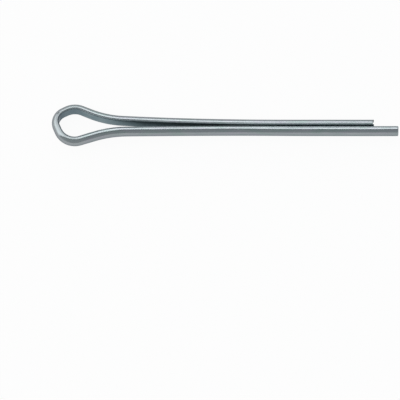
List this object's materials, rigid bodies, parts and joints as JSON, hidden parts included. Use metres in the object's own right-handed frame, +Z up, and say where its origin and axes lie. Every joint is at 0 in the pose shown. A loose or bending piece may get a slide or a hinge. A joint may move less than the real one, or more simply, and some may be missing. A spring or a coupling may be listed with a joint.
{
  "type": "brake pad retaining pin",
  "caption": "Split pin of half-round steel wire with an open eye and two unequal legs, which holds disc brake pads in their caliper.",
  "frame": {"origin": "on the shank's axis, at the eye end of the stretch where the long leg is straight", "axes": "+X along the shank towards the tips, +Y towards the short leg's side, +Z up out of the plane of the bend"},
  "size_m": [0.0379, 0.0048, 0.0018],
  "materials": {
    "zinc_plated_steel": "bright zinc plate over drawn wire"
  },
  "bodies": {
    "root": {"split_pin": "zinc_plated_steel"}
  },
  "joints": []
}
